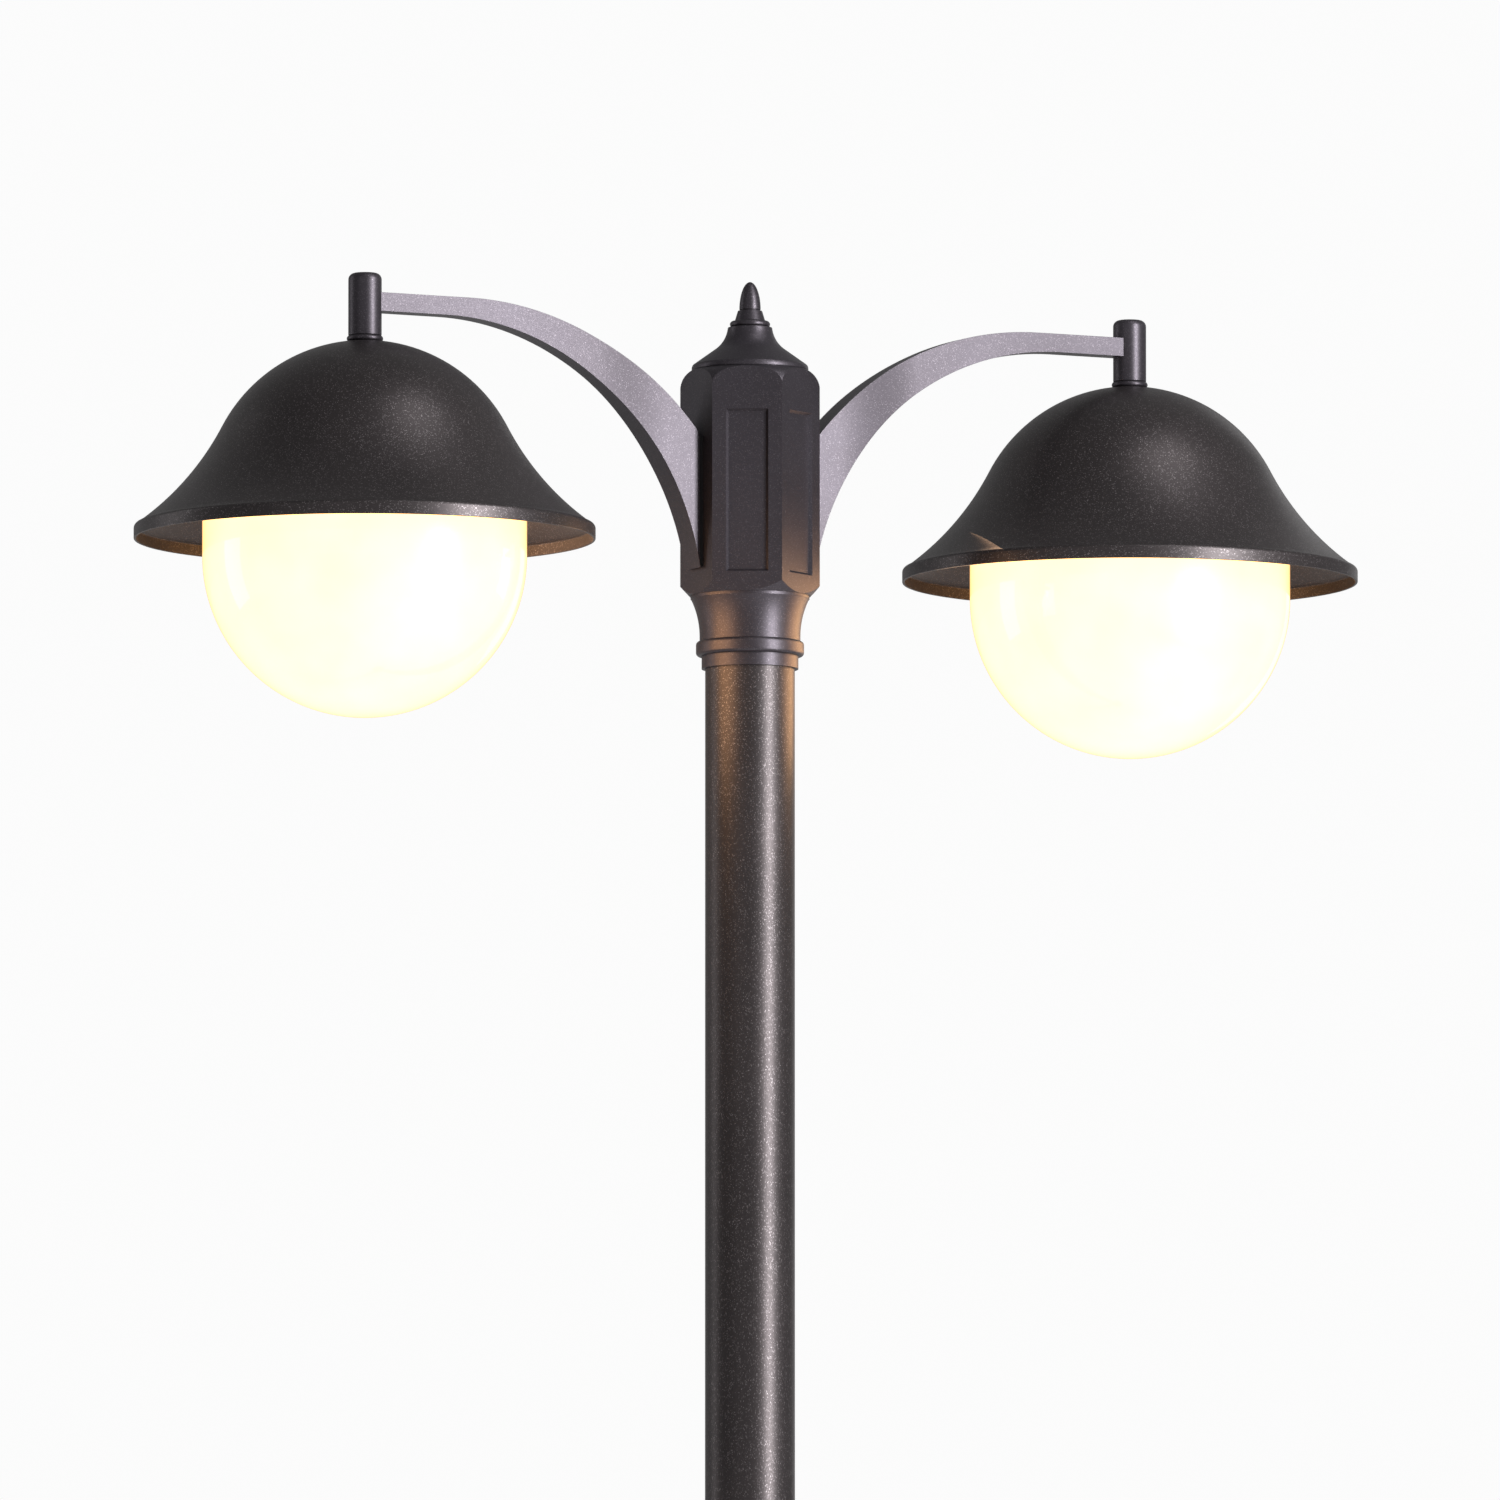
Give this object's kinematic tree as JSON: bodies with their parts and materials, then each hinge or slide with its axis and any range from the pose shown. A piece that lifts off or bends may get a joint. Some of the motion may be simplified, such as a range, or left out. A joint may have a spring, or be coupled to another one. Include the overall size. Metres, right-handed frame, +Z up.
{
  "type": "street lamp post",
  "caption": "Round lamp post with a hexagonal head, a pointed finial and two curved arms that carry bell shades over opal globes.",
  "frame": {"origin": "on the ground, on the axis of the pole, under the middle of the flange plate", "axes": "+Z up along the pole, X along the two arms, -Y towards the side with the access door"},
  "size_m": [1.309, 0.4548, 3.4],
  "materials": {
    "powder_coat": "dark bronze-grey fine-textured powder coat",
    "cast_coat": "dark bronze-grey powder coat on cast aluminium",
    "opal_glass": "opal glass, lit from inside",
    "gasket_rubber": "black rubber",
    "stainless": "stainless steel fasteners",
    "zinc_steel": "zinc plated sheet",
    "brass": "plain turned brass",
    "carrier_plastic": "moulded thermoset",
    "bulb_plastic": "frosted diffuser, lit from inside"
  },
  "bodies": {
    "post": {"base_plate": "powder_coat", "base_gussets": "powder_coat", "base_cover_front": "powder_coat", "base_cover_back": "powder_coat", "base_cover_screws": "stainless", "pole_base": "powder_coat", "pole_shaft": "powder_coat", "pole_sleeve": "zinc_steel", "hinge_brackets": "powder_coat", "hinge_pin": "stainless", "gear_board": "zinc_steel", "board_studs": "stainless", "fuse_carrier": "carrier_plastic", "earth_stud": "brass", "neck_collar": "cast_coat", "collar_screws": "stainless", "hub_body": "cast_coat", "hub_cap": "cast_coat", "finial": "cast_coat", "arm_left": "cast_coat", "arm_gasket_left": "gasket_rubber", "arm_bolts_left": "stainless", "stub_left": "cast_coat", "stub_washer_left": "cast_coat", "shade_left": "powder_coat", "hanger_tube_left": "brass", "hanger_nuts_left": "brass", "gallery_left": "powder_coat", "globe_left": "opal_glass", "lampholder_left": "carrier_plastic", "led_bulb_left": "bulb_plastic", "arm_right": "cast_coat", "arm_gasket_right": "gasket_rubber", "arm_bolts_right": "stainless", "stub_right": "cast_coat", "stub_washer_right": "cast_coat", "shade_right": "powder_coat", "hanger_tube_right": "brass", "hanger_nuts_right": "brass", "gallery_right": "powder_coat", "globe_right": "opal_glass", "lampholder_right": "carrier_plastic", "led_bulb_right": "bulb_plastic"},
    "door": {"access_door": "powder_coat"},
    "lock": {"door_lock": "stainless"},
    "globe_screw_left_a": {"globe_screw_left_a": "stainless"},
    "globe_screw_left_b": {"globe_screw_left_b": "stainless"},
    "globe_screw_left_c": {"globe_screw_left_c": "stainless"},
    "globe_screw_right_a": {"globe_screw_right_a": "stainless"},
    "globe_screw_right_b": {"globe_screw_right_b": "stainless"},
    "globe_screw_right_c": {"globe_screw_right_c": "stainless"}
  },
  "joints": [
    {"name": "door_hinge", "type": "hinge", "parent": "post", "child": "door", "pos_m": [-0.034, -0.03585, 0.45], "axis": [0, 0, -1], "range_deg": [0, 110]},
    {"name": "door_lock_turn", "type": "hinge", "parent": "door", "child": "lock", "pos_m": [0, -0.045, 0.55], "axis": [0, -1, 0], "range_deg": [0, 90]},
    {"name": "globe_screw_left_a_travel", "type": "slide", "parent": "post", "child": "globe_screw_left_a", "axis": [1, 0, 0], "range_m": [0, 0.008]},
    {"name": "globe_screw_left_b_travel", "type": "slide", "parent": "post", "child": "globe_screw_left_b", "axis": [-0.5, 0.866, 0], "range_m": [0, 0.008]},
    {"name": "globe_screw_left_c_travel", "type": "slide", "parent": "post", "child": "globe_screw_left_c", "axis": [-0.5, -0.866, 0], "range_m": [0, 0.008]},
    {"name": "globe_screw_right_a_travel", "type": "slide", "parent": "post", "child": "globe_screw_right_a", "axis": [1, 0, 0], "range_m": [0, 0.008]},
    {"name": "globe_screw_right_b_travel", "type": "slide", "parent": "post", "child": "globe_screw_right_b", "axis": [-0.5, 0.866, 0], "range_m": [0, 0.008]},
    {"name": "globe_screw_right_c_travel", "type": "slide", "parent": "post", "child": "globe_screw_right_c", "axis": [-0.5, -0.866, 0], "range_m": [0, 0.008]}
  ]
}
